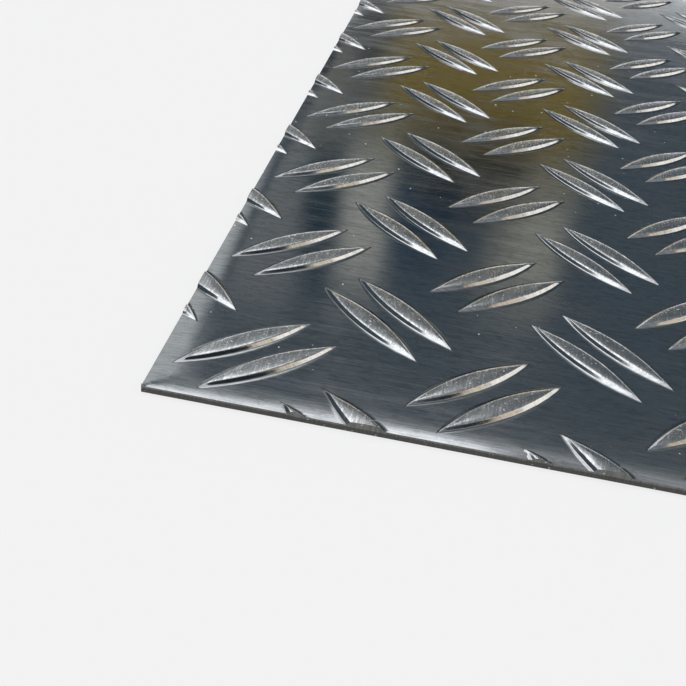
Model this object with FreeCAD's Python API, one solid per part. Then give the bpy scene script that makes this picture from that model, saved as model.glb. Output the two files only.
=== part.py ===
# Aluminium checker plate: one rolled sheet with a two-bar tread pattern on its upper face.
#
# Frame: millimetres, +Z up, origin at the centre of the flat underside. +Y runs along the plate's
# length and +X across its width. The front left corner is the one at the lowest X and Y.
#
# The tread is a grid of pairs of raised lugs. Pairs leaning one way and pairs leaning the other
# alternate like the squares of a draughtboard turned by 45 degrees. A lug is lens-shaped in plan.
# Its two steep flanks meet in a low crest at each end, under a smooth crown that is highest at the
# middle of the lug and arched gently along its length.
# The plate is sheared from a larger sheet, and its edges cut straight through the lugs in their way.

import FreeCAD, Part

import math
import os

# Driving dimensions
plate_width = 250.0
plate_length = 500.0
base_thickness = 1.5
lug_height = 0.8
foot_length = 28.0      # of a lug, from tip to tip on the sheet's face
foot_width = 4.7        # across its middle
crown_length = 22.0     # from one crest to the other, where they would reach the lug's full height
crown_width = 3.8       # across the middle of the crown
crown_radius = 230.0    # of the crown's arch along the lug
lug_spacing = 8.3       # between the centre lines of the two lugs of a pair
pattern_pitch = 40.0    # from a pair to the next one that leans the same way, along X or Y
lug_angle = 45.0        # of the lugs to the plate's edges, in degrees
first_pair_x = 16.0     # from the left edge to the centre of the first whole pair
first_pair_y = 15.3     # from the front edge to the centre of the first whole pair

# Worked out from them
row_step = pattern_pitch / 2                    # between rows of pairs, along X and along Y
tread_face = base_thickness                     # level of the flat face between the lugs
crown_level = base_thickness + lug_height
reach = (foot_length + lug_spacing) / 2         # no part of a pair lies further from its centre
flank_stretch = 1.25                            # the flanks are drawn this much too tall, then cut off


def vector(x, y, z):
    return FreeCAD.Vector(x, y, z)


def plate_blank(height):
    """A block with the plate's outline, from the underside up to the height."""
    corner = vector(-plate_width / 2, -plate_length / 2, 0)
    return Part.makeBox(plate_width, plate_length, height, corner)


def lens(length, width, level):
    """Two arcs that meet in a point at each end, along X."""
    left = vector(-length / 2, 0, level)
    right = vector(length / 2, 0, level)
    front = Part.Arc(left, vector(0, -width / 2, level), right).toShape()
    back = Part.Arc(right, vector(0, width / 2, level), left).toShape()
    return Part.Wire([front, back])


def lug_at_origin():
    """One lug lying along X on the tread face, centred on the Z axis."""
    top_length = foot_length - (foot_length - crown_length) * flank_stretch
    top_width = foot_width - (foot_width - crown_width) * flank_stretch
    foot = lens(foot_length, foot_width, tread_face)
    top = lens(top_length, top_width, tread_face + lug_height * flank_stretch)
    flanks = Part.makeLoft([foot, top], True, True)
    arch_start = vector(0, -foot_width, crown_level - crown_radius)
    arch = Part.makeCylinder(crown_radius, 2 * foot_width, arch_start, vector(0, 1, 0))
    return flanks.common(arch)


def pair_centres():
    """The centre of each pair that may reach the plate, with the way that its lugs lean."""
    columns = math.ceil((plate_width + 2 * reach) / row_step)
    rows = math.ceil((plate_length + 2 * reach) / row_step)
    before = math.ceil(reach / row_step)
    for column in range(-before, columns):
        for row in range(-before, rows):
            if (column + row) % 2:
                continue
            x = -plate_width / 2 + first_pair_x + column * row_step
            y = -plate_length / 2 + first_pair_y + row * row_step
            if abs(x) < plate_width / 2 + reach and abs(y) < plate_length / 2 + reach:
                yield x, y, 1 if column % 2 == 0 else -1


def lugs():
    """Every lug of the tread, with those in the way of an edge cut off flush with it."""
    whole = lug_at_origin()
    outline = plate_blank(crown_level)
    found = []
    for x, y, lean in pair_centres():
        for side in (-1, 1):
            lug = whole.copy()
            lug.translate(vector(0, side * lug_spacing / 2, 0))
            lug.rotate(vector(0, 0, 0), vector(0, 0, 1), lean * lug_angle)
            lug.translate(vector(x, y, 0))
            box = lug.BoundBox
            inside = (box.XMin > -plate_width / 2 and box.XMax < plate_width / 2
                      and box.YMin > -plate_length / 2 and box.YMax < plate_length / 2)
            if not inside:
                lug = lug.common(outline)
            found += lug.Solids
    return found


os.makedirs("parts", exist_ok=True)
tread = lugs()
plate = plate_blank(base_thickness).multiFuse(tread).removeSplitter().Solids[0]
plate.exportStep("parts/checker_plate.step")
print("lugs", len(tread), "faces", len(plate.Faces), "volume mm3", round(plate.Volume, 1))
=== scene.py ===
import math

import bmesh
import bpy
from mathutils import Matrix, Vector


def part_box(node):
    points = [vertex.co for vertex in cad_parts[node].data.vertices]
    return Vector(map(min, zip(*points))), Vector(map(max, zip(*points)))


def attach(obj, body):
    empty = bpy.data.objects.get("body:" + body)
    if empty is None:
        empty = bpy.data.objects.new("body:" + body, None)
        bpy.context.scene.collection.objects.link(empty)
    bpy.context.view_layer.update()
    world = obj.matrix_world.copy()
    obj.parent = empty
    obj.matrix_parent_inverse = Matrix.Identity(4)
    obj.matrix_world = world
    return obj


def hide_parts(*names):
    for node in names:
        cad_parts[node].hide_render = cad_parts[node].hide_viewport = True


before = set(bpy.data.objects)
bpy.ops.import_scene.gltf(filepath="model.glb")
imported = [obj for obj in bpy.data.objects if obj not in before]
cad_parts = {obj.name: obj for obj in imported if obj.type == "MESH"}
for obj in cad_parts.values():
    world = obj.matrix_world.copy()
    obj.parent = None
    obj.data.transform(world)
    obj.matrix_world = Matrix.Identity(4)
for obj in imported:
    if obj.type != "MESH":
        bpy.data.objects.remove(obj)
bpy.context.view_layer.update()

low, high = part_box("checker_plate")
scene = bpy.context.scene
print("frame loaded")


# the tread plate is one rolled sheet: pairs of lugs sit on a square grid and lean one way and the other in turn

treadPlate = {
    "sheet": 0.0015,             # thickness between the lugs
    "pitch": 0.040,              # from a pair to the next that leans the same way
    "firstPair": (0.0160, 0.0153),   # its centre, from the front left corner
    "spacing": 0.0083,           # between the centre lines of a pair's two lugs
    "footSize": (0.0280, 0.0047),    # length and width of a lug at its foot
    "crownSize": (0.0245, 0.0038),   # and at the rim of its crown
    "crownDrop": 0.4,            # how far the crown falls towards its ends, as a share of its height
    "crownDome": 0.00009,        # and how far towards its rim
    "edgeRoll": 0.00024,         # how far the shears drag the face down at a cut edge
    "edgeRollWidth": 0.0050,
    "burr": 0.00012,             # rounding along the underside
}
lugHeight = high.z - treadPlate["sheet"]
cellSide = treadPlate["pitch"] / math.sqrt(2)
cellLap = 0.0030                 # cells are longer than wide by twice this each way, and interlock
cellLong = cellSide / 2 + cellLap
cellShort = cellSide / 2 - cellLap

# Across a flank: 0 is its foot, 1 the crown's rim. The foot and the rim are both rounded.
flankRings = (-2.2, -0.2, 0.0, 0.2, 0.8, 1.0, 1.2, 2.3)   # the first is a flat collar round the foot
footBlend, rimBlend = 0.2, 0.2
innerCrownRing = 3.7
footPaintedShade = {-0.2: 1.0, 0.0: 0.15}                   # share of painted shade that each ring at the foot gets, and none on the others
crownStart = 0.86                                    # where the crown's finish begins to take over
sideSteps = (0.014, 0.03) + (0.114,) * 8 + (0.03, 0.014)   # shares of a side's arc, short near the tips
rollCuts = (0.1, 0.25, 0.45, 0.7, 1.0)               # rows cut along an edge, as shares of its roll
hardEdge = math.radians(40)                          # edges sharper than this are shaded hard


def flankRise(across):
    # share of the crown's height, with a parabola at the foot and one at the rim
    if across <= -footBlend:
        return 0.0
    if across < footBlend:
        return (across + footBlend) ** 2 / (4 * footBlend)
    if across < 1 - rimBlend:
        return across
    if across < 1 + rimBlend:
        return 1 - (1 + rimBlend - across) ** 2 / (4 * rimBlend)
    return 1.0


def crownHeight(x):
    return lugHeight * (1 - treadPlate["crownDrop"] * (2 * x / treadPlate["crownSize"][0]) ** 2)


def lensLoop(bm, across, centreY, crownLayer, footLayer):
    # a closed lens of two arcs: one side is spun a step at a time and then mirrored
    footLength, footWidth = treadPlate["footSize"]
    crownLength, crownWidth = treadPlate["crownSize"]
    halfWidth = (footWidth + (crownWidth - footWidth) * across) / 2
    if across < 0:
        halfLength = footLength / 2 + halfWidth - footWidth / 2
    else:
        halfLength = (footLength + (crownLength - footLength) * across) / 2
    radius = (halfLength ** 2 + halfWidth ** 2) / (2 * halfWidth)
    sweep = 2 * math.asin(halfLength / radius)
    tip = bm.verts.new((-halfLength, 0, 0))
    side = [tip]
    for share in sideSteps:
        spun = bmesh.ops.spin(bm, geom=[side[-1]], cent=(0, halfWidth - radius, 0), axis=(0, 0, -1),
                              angle=sweep * share, steps=1, use_merge=False)
        side += [item for item in spun["geom_last"] if isinstance(item, bmesh.types.BMVert)]
    edges = [edge for edge in bm.edges if edge.verts[0] in side and edge.verts[1] in side]
    side[-1].co.y = 0
    mirrored = bmesh.ops.mirror(bm, geom=side + edges, matrix=Matrix.Identity(4), merge_dist=1e-6, axis="Y")
    loop = side + [item for item in mirrored["geom"] if isinstance(item, bmesh.types.BMVert) and item not in side]
    loop = [vert for vert in loop if vert.is_valid]
    rise = flankRise(across)
    dome = treadPlate["crownDome"] * min(1.0, 2 * halfWidth / crownWidth) ** 2
    for vert in loop:
        vert.co.z = rise * (crownHeight(vert.co.x) - dome)
        vert.co.y += centreY
        vert[crownLayer] = min(1.0, max(0.0, (across - crownStart) / (1 - crownStart)))
        vert[footLayer] = footPaintedShade.get(across, 0.0)
    members = set(loop)
    return [edge for edge in bm.edges if edge.verts[0] in members and edge.verts[1] in members]


def addLug(bm, centreY, crownLayer, footLayer):
    # rings from the flat face up to the crown, bridged one to the next
    rings = [lensLoop(bm, across, centreY, crownLayer, footLayer) for across in flankRings + (innerCrownRing,)]
    for outer, inner in zip(rings, rings[1:]):
        bmesh.ops.bridge_loops(bm, edges=outer + inner)
    top = rings[-1]
    verts = {vert for edge in top for vert in edge.verts}
    upper = sorted((vert for vert in verts if vert.co.y >= centreY - 1e-7), key=lambda vert: vert.co.x)
    lower = sorted((vert for vert in verts if vert.co.y <= centreY + 1e-7), key=lambda vert: vert.co.x)
    for i in range(len(upper) - 1):
        corners = [lower[i], lower[i + 1], upper[i + 1], upper[i]]
        bm.faces.new(list(dict.fromkeys(corners)))
    return rings[0]


def makeCell(name, turn):
    # one pair of lugs on its own patch of the face
    bm = bmesh.new()
    crownLayer = bm.verts.layers.float.new("crown")
    footLayer = bm.verts.layers.float.new("foot")
    outlines = []
    for side in (-1, 1):
        outlines += addLug(bm, side * treadPlate["spacing"] / 2, crownLayer, footLayer)
    patch = bmesh.ops.create_grid(bm, x_segments=1, y_segments=1, size=0.5)["verts"]
    bmesh.ops.scale(bm, vec=(2 * cellLong, 2 * cellShort, 1), verts=patch)
    bmesh.ops.delete(bm, geom=list({face for vert in patch for face in vert.link_faces}), context="FACES_ONLY")
    border = {edge for vert in patch for edge in vert.link_edges}
    for edge in [edge for edge in border if abs(edge.verts[0].co.y - edge.verts[1].co.y) < 1e-9]:
        for x in (-cellShort, cellShort):            # corners of the neighbours that meet this side
            near = min((v for v in edge.verts), key=lambda vert: abs(vert.co.x - x))
            far = edge.other_vert(near)
            share = abs((x - near.co.x) / (far.co.x - near.co.x))
            newEdge, newVert = bmesh.utils.edge_split(edge, near, share)
            border.add(newEdge)
            edge = newEdge if abs(newEdge.verts[0].co.x - newEdge.verts[1].co.x) > 2 * cellLap + 1e-6 else edge
    border = {edge for edge in bm.edges if not edge.link_faces}
    bmesh.ops.triangle_fill(bm, edges=list(border | set(outlines)), use_beauty=True)
    bmesh.ops.rotate(bm, verts=bm.verts, cent=(0, 0, 0), matrix=Matrix.Rotation(math.radians(turn), 3, "Z"))
    bmesh.ops.translate(bm, verts=bm.verts, vec=(0, 0, treadPlate["sheet"]))
    mesh = bpy.data.meshes.new(name)
    bm.to_mesh(mesh)
    print(name, "faces", len(bm.faces))
    bm.free()
    return mesh


def laidCells(bm):
    # a cell on every grid place that touches the plate
    cells = {1: makeCell("risingCell", 45), -1: makeCell("fallingCell", -45)}
    step = treadPlate["pitch"] / 2
    margin = int(cellLong * math.sqrt(2) / step) + 1
    columns = int((high.x - low.x) / step) + margin + 1
    rows = int((high.y - low.y) / step) + margin + 1
    for column in range(-margin, columns):
        for row in range(-margin, rows):
            if (column + row) % 2:
                continue
            x = low.x + treadPlate["firstPair"][0] + column * step
            y = low.y + treadPlate["firstPair"][1] + row * step
            placed = cells[1 if column % 2 == 0 else -1].copy()
            placed.transform(Matrix.Translation((x, y, 0)))
            bm.from_mesh(placed)
            bpy.data.meshes.remove(placed)
    for cell in cells.values():
        bpy.data.meshes.remove(cell)


def makePlate():
    bm = bmesh.new()
    laidCells(bm)
    bmesh.ops.remove_doubles(bm, verts=bm.verts, dist=2e-6)
    bmesh.ops.holes_fill(bm, edges=[edge for edge in bm.edges if edge.is_boundary], sides=4)
    print("cells joined", len(bm.faces))

    # trim to the plate's outline, and cut rows along it for the edge to roll over
    sides = ((Vector((low.x, 0, 0)), Vector((-1, 0, 0))), (Vector((high.x, 0, 0)), Vector((1, 0, 0))),
             (Vector((0, low.y, 0)), Vector((0, -1, 0))), (Vector((0, high.y, 0)), Vector((0, 1, 0))))
    for place, outward in sides:
        bmesh.ops.bisect_plane(bm, geom=bm.verts[:] + bm.edges[:] + bm.faces[:], dist=1e-7,
                               plane_co=place, plane_no=outward, clear_outer=True)
    rollWidth = treadPlate["edgeRollWidth"]
    for share in rollCuts:
        for place, outward in sides:
            near = [face for face in bm.faces if (face.calc_center_median() - place).dot(outward) > -3 * rollWidth
                    or min((vert.co - place).dot(outward) for vert in face.verts) < -rollWidth * share
                    < max((vert.co - place).dot(outward) for vert in face.verts)]
            parts = set(near)
            parts |= {edge for face in near for edge in face.edges} | {vert for face in near for vert in face.verts}
            bmesh.ops.bisect_plane(bm, geom=list(parts), dist=1e-7,
                                   plane_co=place - outward * rollWidth * share, plane_no=outward)
    for vert in bm.verts:
        inset = min(vert.co.x - low.x, high.x - vert.co.x, vert.co.y - low.y, high.y - vert.co.y)
        if inset < rollWidth:
            vert.co.z -= treadPlate["edgeRoll"] * (1 - inset / rollWidth) ** 2
    print("trimmed", len(bm.faces))

    # the cut edge, and the flat underside
    burr = treadPlate["burr"]
    wall = [edge for edge in bm.edges if edge.is_boundary]
    for level, inset in ((burr, 0.0), (0.3 * burr, 0.3 * burr), (0.0, burr)):
        skirt = bmesh.ops.extrude_edge_only(bm, edges=wall)["geom"]
        wall = [item for item in skirt if isinstance(item, bmesh.types.BMEdge)]
        for item in skirt:
            if isinstance(item, bmesh.types.BMFace):
                item.material_index = 1
            if isinstance(item, bmesh.types.BMVert):
                item.co.x = min(max(item.co.x, low.x + inset), high.x - inset)
                item.co.y = min(max(item.co.y, low.y + inset), high.y - inset)
                item.co.z = low.z + level
    filled = bmesh.ops.triangle_fill(bm, edges=wall, use_beauty=True)["geom"]
    for item in filled:
        if isinstance(item, bmesh.types.BMFace):
            item.material_index = 2
    bmesh.ops.dissolve_degenerate(bm, edges=bm.edges, dist=1e-7)
    bmesh.ops.triangulate(bm, faces=[face for face in bm.faces if len(face.verts) > 4])
    bmesh.ops.recalc_face_normals(bm, faces=bm.faces)
    for face in bm.faces:
        face.smooth = True
    for edge in bm.edges:
        if len(edge.link_faces) == 2 and edge.calc_face_angle() > hardEdge:
            edge.smooth = False
    openEdges = sum(1 for edge in bm.edges if not edge.is_manifold)
    flat = bm.loops.layers.uv.new("alongEdges")      # U runs along the plate, across its brushing
    for face in bm.faces:
        for corner in face.loops:
            corner[flat].uv = corner.vert.co.yx
    mesh = bpy.data.meshes.new("treadPlate")
    bm.to_mesh(mesh)
    triangles = sum(len(face.verts) - 2 for face in bm.faces)
    bm.free()
    print("plate triangles", triangles, "open edges", openEdges)
    piece = bpy.data.objects.new("treadPlate", mesh)
    scene.collection.objects.link(piece)
    return piece


plate = makePlate()


def node(tree, kind, **settings):
    made = tree.nodes.new("ShaderNode" + kind)
    for key, value in settings.items():
        setattr(made, key, value)
    return made


def join(tree, value, socket):
    # a plain number is set on the socket, anything else is linked to it
    if isinstance(value, (int, float)):
        socket.default_value = value
    else:
        tree.links.new(value, socket)


def mathNode(tree, operation, *values):
    made = node(tree, "Math", operation=operation)
    for value, socket in zip(values, made.inputs):
        join(tree, value, socket)
    return made.outputs[0]


def weighted(tree, share, first, second):
    # two patterns added in shares that make one
    return mathNode(tree, "ADD", mathNode(tree, "MULTIPLY", first, share),
                    mathNode(tree, "MULTIPLY", second, 1 - share))


def spread(tree, value, low0, high0, low1, high1):
    # carries one range over to another, smoothly and without leaving it
    made = node(tree, "MapRange", interpolation_type="SMOOTHSTEP")
    for place, amount in enumerate((value, low0, high0, low1, high1)):
        join(tree, amount, made.inputs[place])
    return made.outputs[0]


def grain(tree, place, stretch, detail=3.0, roughness=0.6):
    # noise drawn out by different scales along X, Y and Z
    mapping = node(tree, "Mapping")
    tree.links.new(place, mapping.inputs["Vector"])
    mapping.inputs["Scale"].default_value = stretch
    noise = node(tree, "TexNoise")
    tree.links.new(mapping.outputs[0], noise.inputs["Vector"])
    noise.inputs["Scale"].default_value = 1.0
    noise.inputs["Detail"].default_value = detail
    noise.inputs["Roughness"].default_value = roughness
    return noise.outputs["Fac"]


def patternsOf(tree, place, finish):
    return {name: grain(tree, place, *pattern) for name, pattern in finish["patterns"].items()}


def blend(tree, share, first, second):
    made = node(tree, "Mix", data_type="RGBA")
    join(tree, share, made.inputs[0])
    for colour, socket in ((first, made.inputs[6]), (second, made.inputs[7])):
        if isinstance(colour, tuple):
            socket.default_value = (*colour, 1)
        else:
            tree.links.new(colour, socket)
    return made.outputs[2]


def bump(tree, height, distance, strength, normal=None):
    made = node(tree, "Bump")
    made.inputs["Distance"].default_value = distance
    made.inputs["Strength"].default_value = strength
    tree.links.new(height, made.inputs["Height"])
    if normal:
        tree.links.new(normal, made.inputs["Normal"])
    return made.outputs[0]


def startMetal(name):
    material = bpy.data.materials.new(name)
    material.use_nodes = True
    tree = material.node_tree
    shader = tree.nodes["Principled BSDF"]
    shader.inputs["Metallic"].default_value = 1.0
    place = node(tree, "TexCoord").outputs["Object"]
    return material, tree, shader, place


# In each finish, a pattern is its scales along X, Y and Z for each metre, its detail and its roughness.

rolledFinish = {
    "face": (0.76, 0.78, 0.80),
    "dull": (0.56, 0.58, 0.60),       # where the face is smeared or scuffed
    "crown": (0.80, 0.81, 0.81),
    "crownDull": (0.42, 0.43, 0.44),
    "fleck": (0.98, 0.98, 0.97),
    "line": (0.42, 0.44, 0.46),       # the deepest lines of the brushing
    "paintedFootShade": (0.20, 0.20, 0.20),      # colour of the painted shade at the foot of a lug
    "gloss": (0.08, 0.17),            # roughness of the face, from its brightest to its dullest
    "crownGloss": (0.15, 0.30),
    "speckGloss": 0.75,
    "fleckGloss": 0.62,
    "brushed": 0.60,                  # how far the brushing draws reflections out
    "waveDepth": 0.00007,
    "lineDepth": 0.0000035,
    "crownLineDepth": 0.000008,
    "speckScale": 420,                # specks of dust, in places for each metre
    "speckSize": 0.11,                # the largest, in places
    "cleanShare": 0.45,               # of the places, that have no speck
    "wear": 0.42,                     # how far smears and brushing dull the face's colour
    "lineShare": 0.75,                # how strong each kind of mark is at most
    "paleShare": 0.60,
    "mottleShare": 0.50,
    "scoreShare": 0.95,
    "fleckShare": 0.90,
    "patterns": {
        "brush": ((45, 2300, 300), 4, 0.65),         # lines drawn across the plate
        "bands": ((12, 260, 60), 3, 0.55),
        "hair": ((170, 2700, 300), 5, 0.8),
        "smears": ((34, 22, 30), 4, 0.6),
        "mottle": ((420, 900, 500), 4, 0.75),
        "flecks": ((1500, 1900, 1500), 2, 0.5),
        "broadScuffs": ((190, 420, 300), 3, 0.6),
        "fineScuffs": ((1500, 330, 500), 3, 0.7),
        "scores": ((2100, 260, 500), 4, 0.75),       # drawn along the plate, on the crowns
        "waves": ((38, 26, 30), 2, 0.5),
    },
}


def dustSpecks(tree, place, finish):
    # round specks, most of them tiny, in some of the places of a scattered grid
    dots = node(tree, "TexVoronoi", feature="F1")
    tree.links.new(place, dots.inputs["Vector"])
    dots.inputs["Scale"].default_value = finish["speckScale"]
    chosen = node(tree, "SeparateColor")
    tree.links.new(dots.outputs["Color"], chosen.inputs[0])
    draw, size, strength = chosen.outputs
    radius = mathNode(tree, "MULTIPLY", mathNode(tree, "POWER", size, 3.0), finish["speckSize"])
    inside = mathNode(tree, "LESS_THAN", dots.outputs["Distance"], radius)
    kept = mathNode(tree, "GREATER_THAN", draw, finish["cleanShare"])
    return mathNode(tree, "MULTIPLY", mathNode(tree, "MULTIPLY", inside, kept),
                    spread(tree, strength, 0, 1, 0.35, 1))


def makeRolledFace():
    finish = rolledFinish
    material, tree, shader, place = startMetal("rolledFace")
    onCrown = node(tree, "Attribute", attribute_name="crown").outputs["Fac"]
    atFoot = node(tree, "Attribute", attribute_name="foot").outputs["Fac"]
    marks = patternsOf(tree, place, finish)
    specks = dustSpecks(tree, place, finish)
    scuffs = weighted(tree, 0.55, marks["broadScuffs"], marks["fineScuffs"])
    worn = spread(tree, marks["smears"], 0.42, 0.72, 0, 1)
    streak = spread(tree, weighted(tree, 0.6, marks["brush"], marks["bands"]), 0.38, 0.64, 0, 1)
    bright = spread(tree, marks["flecks"], 0.61, 0.76, 0, finish["fleckShare"])
    scored = spread(tree, marks["scores"], 0.49, 0.64, 0, finish["scoreShare"])

    face = blend(tree, mathNode(tree, "MULTIPLY", mathNode(tree, "ADD", worn, streak), finish["wear"]),
                 finish["face"], finish["dull"])
    face = blend(tree, spread(tree, marks["hair"], 0.50, 0.68, 0, finish["lineShare"]), face, finish["line"])
    face = blend(tree, spread(tree, marks["hair"], 0.46, 0.30, 0, finish["paleShare"]), face, finish["fleck"])
    face = blend(tree, spread(tree, marks["mottle"], 0.48, 0.66, 0, finish["mottleShare"]), face, finish["line"])
    # painted shade: the face is darkened round the foot of each lug, more strongly where the smear pattern is high
    paintedFootShade = mathNode(tree, "MULTIPLY", mathNode(tree, "POWER", atFoot, 1.2),
                     spread(tree, marks["smears"], 0.3, 0.6, 0.55, 0.85))
    face = blend(tree, paintedFootShade, face, finish["paintedFootShade"])
    face = blend(tree, specks, face, finish["fleck"])
    crown = blend(tree, spread(tree, scuffs, 0.36, 0.66, 0, 1), finish["crown"], finish["crownDull"])
    crown = blend(tree, scored, crown, finish["fleck"])
    crown = blend(tree, bright, crown, finish["fleck"])
    tree.links.new(blend(tree, onCrown, face, crown), shader.inputs["Base Color"])

    faceGloss = spread(tree, weighted(tree, 0.45, worn, streak), 0, 1, *finish["gloss"])
    faceGloss = mathNode(tree, "MAXIMUM", faceGloss, mathNode(tree, "MULTIPLY", specks, finish["speckGloss"]))
    crownGloss = spread(tree, scuffs, 0.3, 0.7, *finish["crownGloss"])
    crownGloss = mathNode(tree, "MAXIMUM", crownGloss, mathNode(tree, "MULTIPLY", bright, finish["fleckGloss"]))
    gloss = node(tree, "Mix", data_type="FLOAT")
    for value, socket in zip((onCrown, faceGloss, crownGloss), (gloss.inputs[0], gloss.inputs[2], gloss.inputs[3])):
        tree.links.new(value, socket)
    tree.links.new(gloss.outputs[0], shader.inputs["Roughness"])
    shader.inputs["Anisotropic"].default_value = finish["brushed"]
    tree.links.new(node(tree, "Tangent", direction_type="UV_MAP", uv_map="alongEdges").outputs[0],
                   shader.inputs["Tangent"])

    normal = bump(tree, marks["waves"], finish["waveDepth"], 1.0)
    normal = bump(tree, marks["brush"], finish["lineDepth"], 1.0, normal)
    crownScuffs = mathNode(tree, "MULTIPLY", scuffs, onCrown)
    normal = bump(tree, crownScuffs, finish["crownLineDepth"], 1.0, normal)
    tree.links.new(normal, shader.inputs["Normal"])
    return material


shearedFinish = {
    "smooth": (0.19, 0.19, 0.185),    # the band that the blade polished
    "torn": (0.115, 0.115, 0.11),     # and the one below that broke away
    "tornShare": 0.62,                # of the sheet's thickness
    "tornWander": 0.0006,             # how far the line between them strays
    "tornBlend": 0.0001,
    "dragLine": (0.06, 0.06, 0.055),
    "dragShare": 0.45,
    "fleck": (0.70, 0.69, 0.65),
    "fleckShare": 0.55,
    "gloss": (0.62, 0.42),            # roughness of the torn band and of the smooth one
    "pitDepth": 0.00005,
    "dragDepth": 0.00003,
    "patterns": {
        "wander": ((260, 260, 1), 2, 0.5),
        "drag": ((2400, 2400, 220), 3, 0.6),         # short upright lines left by the blade
        "pits": ((3000, 3000, 3000), 3, 0.7),
        "flecks": ((1500, 1500, 1900), 1, 0.5),
    },
}


def makeShearedEdge():
    finish = shearedFinish
    material, tree, shader, place = startMetal("shearedEdge")
    marks = patternsOf(tree, place, finish)
    level = node(tree, "SeparateXYZ")
    tree.links.new(place, level.inputs[0])
    torn = finish["tornShare"] * treadPlate["sheet"]
    strayed = mathNode(tree, "MULTIPLY", mathNode(tree, "SUBTRACT", marks["wander"], 0.5), finish["tornWander"])
    height = mathNode(tree, "ADD", level.outputs[2], strayed)
    smooth = spread(tree, height, torn - finish["tornBlend"], torn + finish["tornBlend"], 0, 1)
    dragged = mathNode(tree, "MULTIPLY", spread(tree, marks["drag"], 0.35, 0.65, 0, 1), finish["dragShare"])
    flecks = mathNode(tree, "MULTIPLY", spread(tree, marks["flecks"], 0.68, 0.76, 0, 1), finish["fleckShare"])
    colour = blend(tree, smooth, finish["torn"], finish["smooth"])
    colour = blend(tree, dragged, colour, finish["dragLine"])
    colour = blend(tree, flecks, colour, finish["fleck"])
    tree.links.new(colour, shader.inputs["Base Color"])
    tree.links.new(spread(tree, smooth, 0, 1, *finish["gloss"]), shader.inputs["Roughness"])
    normal = bump(tree, marks["pits"], finish["pitDepth"], 0.8)
    tree.links.new(bump(tree, marks["drag"], finish["dragDepth"], 0.8, normal), shader.inputs["Normal"])
    return material


undersideFinish = {
    "metal": (0.72, 0.73, 0.74),
    "dull": (0.52, 0.53, 0.54),
    "scratch": (0.88, 0.88, 0.88),
    "scratchShare": 0.4,
    "gloss": (0.26, 0.42),
    "lineDepth": 0.000008,
    "patterns": {
        "brush": ((1900, 28, 100), 4, 0.6),          # mill lines along the plate
        "smears": ((22, 14, 20), 4, 0.6),
        "scratches": ((320, 9, 20), 2, 0.6),
    },
}


def makeUnderside():
    finish = undersideFinish
    material, tree, shader, place = startMetal("underside")
    marks = patternsOf(tree, place, finish)
    scratches = spread(tree, marks["scratches"], 0.7, 0.73, 0, 1)
    worn = mathNode(tree, "ADD", spread(tree, marks["smears"], 0.4, 0.7, 0, 1), marks["brush"])
    colour = blend(tree, mathNode(tree, "MULTIPLY", worn, 0.5), finish["metal"], finish["dull"])
    colour = blend(tree, mathNode(tree, "MULTIPLY", scratches, finish["scratchShare"]), colour, finish["scratch"])
    tree.links.new(colour, shader.inputs["Base Color"])
    tree.links.new(spread(tree, mathNode(tree, "MULTIPLY", worn, 0.6), 0, 1, *finish["gloss"]),
                   shader.inputs["Roughness"])
    tree.links.new(bump(tree, marks["brush"], finish["lineDepth"], 1.0), shader.inputs["Normal"])
    return material


for makeFinish in (makeRolledFace, makeShearedEdge, makeUnderside):
    plate.data.materials.append(makeFinish())
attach(plate, "root")
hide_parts("checker_plate")
print("finishes laid")


cameraSetup = {
    "lens": 61.47,
    "turn": 5.448,               # degrees from straight along the plate, towards the left
    "below": 31.946,             # degrees that it looks down
    "roll": 7.572,
    "fromPair": (0.76396, -4.20618, 2.76853),   # from the first pair's centre, in pitches
}


def makeCamera():
    data = bpy.data.cameras.new("camera")
    data.lens = cameraSetup["lens"]
    data.sensor_width = 36
    data.clip_start = 0.005
    data.clip_end = 50
    camera = bpy.data.objects.new("camera", data)
    scene.collection.objects.link(camera)
    pairX, pairY = treadPlate["firstPair"]
    firstPair = Vector((low.x + pairX, low.y + pairY, treadPlate["sheet"]))
    turned = Matrix.Rotation(math.radians(cameraSetup["turn"]), 4, "Z")
    tilted = Matrix.Rotation(math.radians(90 - cameraSetup["below"]), 4, "X")
    rolled = Matrix.Rotation(math.radians(cameraSetup["roll"]), 4, "Z")
    place = firstPair + Vector(cameraSetup["fromPair"]) * treadPlate["pitch"]
    camera.matrix_world = Matrix.Translation(place) @ turned @ tilted @ rolled
    scene.camera = camera


makeCamera()
scene.view_settings.view_transform = "Standard"


studio = {
    "floor": (0.95, 0.95, 0.95),
    "floorLift": 0.74,            # share of the floor's own white, so that it reads as paper and keeps the shadow
    "sky": (1.35, 1.37, 1.40),
    "wall": (0.054, 0.072, 0.088),
    "wallTop": (0.170, 0.185, 0.190),
    "horizon": (0.93, 0.93, 0.93),
    "lowWall": (0.226, 0.250),    # heights on the sphere of light at which the wall takes over from the horizon
    "lighter": (0.53, 0.67),      # over which the wall grows paler
    "skyline": (0.65, 0.73),      # at which the sky takes over from the wall
    "overhead": (0.76, 0.77, 0.79),
    "overheadStart": (0.90, 0.96),    # and at which the dimmer sky straight above takes over
}
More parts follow.
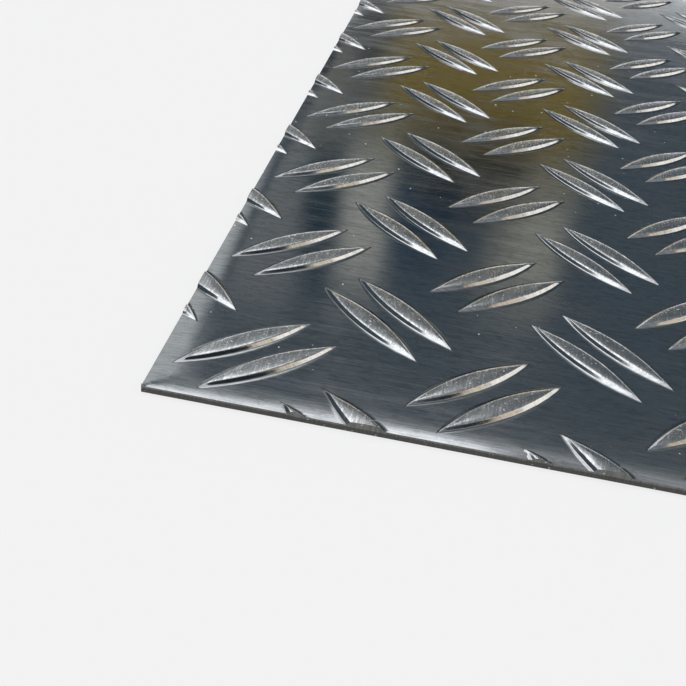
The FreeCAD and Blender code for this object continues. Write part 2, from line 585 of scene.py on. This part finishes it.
# Boards that stand round the plate: bearing, half width, height and half height in degrees, colour and share.
# Those beyond the far and left edges hang above what a level view towards them shows.
cards = (
    (24, 20, 22, 22, (1.15, 1.08, 0.98), 1.0),          # white card to the right
    (-4, 8, 22, 22, (0.78, 0.66, 0.50), 1.0),           # its warm edge
    (116, 11, 28, 8, (0.50, 0.52, 0.52), 0.85),         # pale board beyond the left edge
    (131, 18, 44, 5, (1.20, 1.20, 1.20), 0.9),          # and a white one over it
    (-142, 17, 30, 22, (1.40, 1.40, 1.40), 1.0),       # strip to the left of the camera
    (-41, 29, 49, 24, (0.020, 0.024, 0.030), 1.0),      # black flag at the front right
    (-41, 29, 15, 10, (0.080, 0.096, 0.112), 1.0),      # and a grey one under it
    (33, 52, 59, 16, (0.050, 0.060, 0.070), 0.85),      # grey flag over the white card
    (90.0, 5.5, 18.4, 3.4, (0.150, 0.112, 0.022), 1.0),   # warm board beyond the far edge
    (110.6, 15.2, 17.0, 2.4, (0.016, 0.022, 0.028), 1.0),   # dark one beside it
    (98.4, 1.8, 19.8, 2.6, (0.180, 0.180, 0.150), 0.7),   # pale and dark strips over and beside it
    (95.1, 1.4, 25.8, 3.2, (0.330, 0.330, 0.300), 0.9),
    (100.6, 2.0, 26.0, 4.5, (0.200, 0.210, 0.210), 0.6),
    (86.4, 1.9, 25.8, 2.6, (0.290, 0.285, 0.245), 0.85),
    (97.6, 0.9, 25.8, 3.0, (0.012, 0.030, 0.044), 1.0),
    (92.2, 1.7, 24.8, 3.1, (0.018, 0.040, 0.068), 1.0),
    (89.6, 2.6, 22.9, 1.9, (0.004, 0.010, 0.018), 1.0),
)
cardEdge = 2.4                    # degrees over which a board fades out


def makeFloor():
    bm = bmesh.new()
    bmesh.ops.create_grid(bm, x_segments=1, y_segments=1, size=6)
    bmesh.ops.translate(bm, verts=bm.verts, vec=(0, 0, low.z - 0.00002))
    mesh = bpy.data.meshes.new("floor")
    bm.to_mesh(mesh)
    bm.free()
    floor = bpy.data.objects.new("floor", mesh)
    scene.collection.objects.link(floor)
    material = bpy.data.materials.new("floor")
    material.use_nodes = True
    tree = material.node_tree
    shader = tree.nodes["Principled BSDF"]
    shader.inputs["Base Color"].default_value = (*studio["floor"], 1)
    shader.inputs["Roughness"].default_value = 0.9
    shader.inputs["Specular IOR Level"].default_value = 0.1
    white = node(tree, "Emission")
    white.inputs["Color"].default_value = (1, 1, 1, 1)
    white.inputs["Strength"].default_value = 1.0
    path = node(tree, "LightPath")
    seen = mathNode(tree, "MAXIMUM", path.outputs["Is Camera Ray"],
                    mathNode(tree, "MAXIMUM", path.outputs["Is Glossy Ray"], path.outputs["Is Transmission Ray"]))
    mixed = node(tree, "MixShader")
    join(tree, mathNode(tree, "MULTIPLY", seen, studio["floorLift"]), mixed.inputs[0])
    tree.links.new(shader.outputs[0], mixed.inputs[1])
    tree.links.new(white.outputs[0], mixed.inputs[2])
    tree.links.new(mixed.outputs[0], tree.nodes["Material Output"].inputs["Surface"])
    floor.data.materials.append(material)


makeFloor()


def makeWorld():
    world = bpy.data.worlds.new("studio")
    scene.world = world
    world.use_nodes = True
    tree = world.node_tree
    background = tree.nodes["Background"]
    parts = node(tree, "SeparateXYZ")
    tree.links.new(node(tree, "TexCoord").outputs["Generated"], parts.inputs[0])
    x, y, z = parts.outputs
    colour = blend(tree, spread(tree, z, *studio["lowWall"], 0, 1), studio["horizon"], studio["wall"])
    colour = blend(tree, spread(tree, z, *studio["lighter"], 0, 1), colour, studio["wallTop"])
    colour = blend(tree, spread(tree, z, *studio["skyline"], 0, 1), colour, studio["sky"])
    colour = blend(tree, spread(tree, z, *studio["overheadStart"], 0, 1), colour, studio["overhead"])
    height = mathNode(tree, "MULTIPLY", mathNode(tree, "ARCSINE", z), 180 / math.pi)
    bearing = mathNode(tree, "MULTIPLY", mathNode(tree, "ARCTAN2", y, x), 180 / math.pi)
    for towards, halfWidth, level, halfHeight, tone, share in cards:
        turned = mathNode(tree, "WRAP", mathNode(tree, "SUBTRACT", bearing, towards), 180, -180)
        aside = mathNode(tree, "ABSOLUTE", turned)
        above = mathNode(tree, "ABSOLUTE", mathNode(tree, "SUBTRACT", height, level))
        soft = min(cardEdge, halfWidth / 2, halfHeight / 2)
        within = mathNode(tree, "MULTIPLY", spread(tree, aside, halfWidth - soft, halfWidth + soft, 1, 0),
                          spread(tree, above, halfHeight - soft, halfHeight + soft, 1, 0))
        colour = blend(tree, mathNode(tree, "MULTIPLY", within, share), colour, tone)
    tree.links.new(colour, background.inputs["Color"])
    background.inputs["Strength"].default_value = 1.0


makeWorld()
print("studio set")
